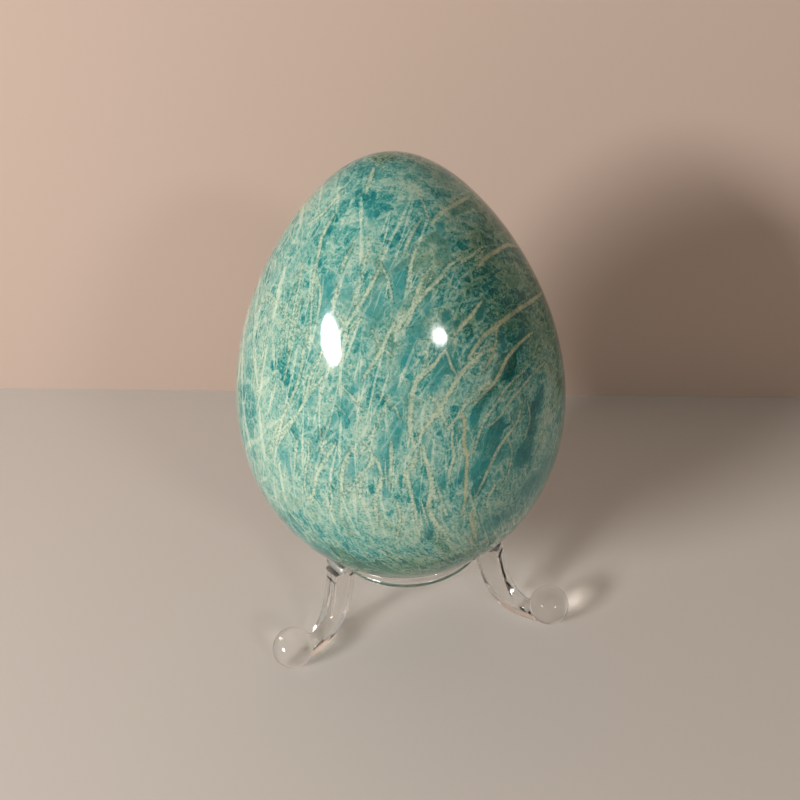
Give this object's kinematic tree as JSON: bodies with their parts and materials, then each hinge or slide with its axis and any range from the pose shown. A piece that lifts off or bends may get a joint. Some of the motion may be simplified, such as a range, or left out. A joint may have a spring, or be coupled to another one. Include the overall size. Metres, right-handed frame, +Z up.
{
  "type": "decorative egg on stand",
  "caption": "Polished sea-green stone egg with pale veins, standing big end down in the ring of a clear plastic stand with curved push-in legs and ball feet.",
  "frame": {"origin": "on the ring's axis at table level, in the middle of the three soles", "axes": "+Z up along the egg's axis; +Y towards the rear leg; the front legs lie 120 degrees either side of it, so the stand is alike either side of the YZ plane"},
  "size_m": [0.0598, 0.0634, 0.0948],
  "materials": {
    "stone": "polished to a high gloss; sea-green to teal with cream and ochre veins",
    "clear_plastic": "clear, smooth, moulded"
  },
  "bodies": {
    "ring": {"seat_ring": "clear_plastic"},
    "egg": {"egg": "stone"},
    "rear_leg": {"leg_rear": "clear_plastic"},
    "left_leg": {"leg_left": "clear_plastic"},
    "right_leg": {"leg_right": "clear_plastic"}
  },
  "joints": [
    {"name": "egg_lift", "type": "slide", "parent": "ring", "child": "egg", "axis": [0, 0, 1], "range_m": [0, 0.03]},
    {"name": "leg_rear_pull", "type": "slide", "parent": "ring", "child": "rear_leg", "axis": [0, 0, -1], "range_m": [0, 0.006]},
    {"name": "leg_left_pull", "type": "slide", "parent": "ring", "child": "left_leg", "axis": [0, 0, -1], "range_m": [0, 0.006]},
    {"name": "leg_right_pull", "type": "slide", "parent": "ring", "child": "right_leg", "axis": [0, 0, -1], "range_m": [0, 0.006]}
  ]
}
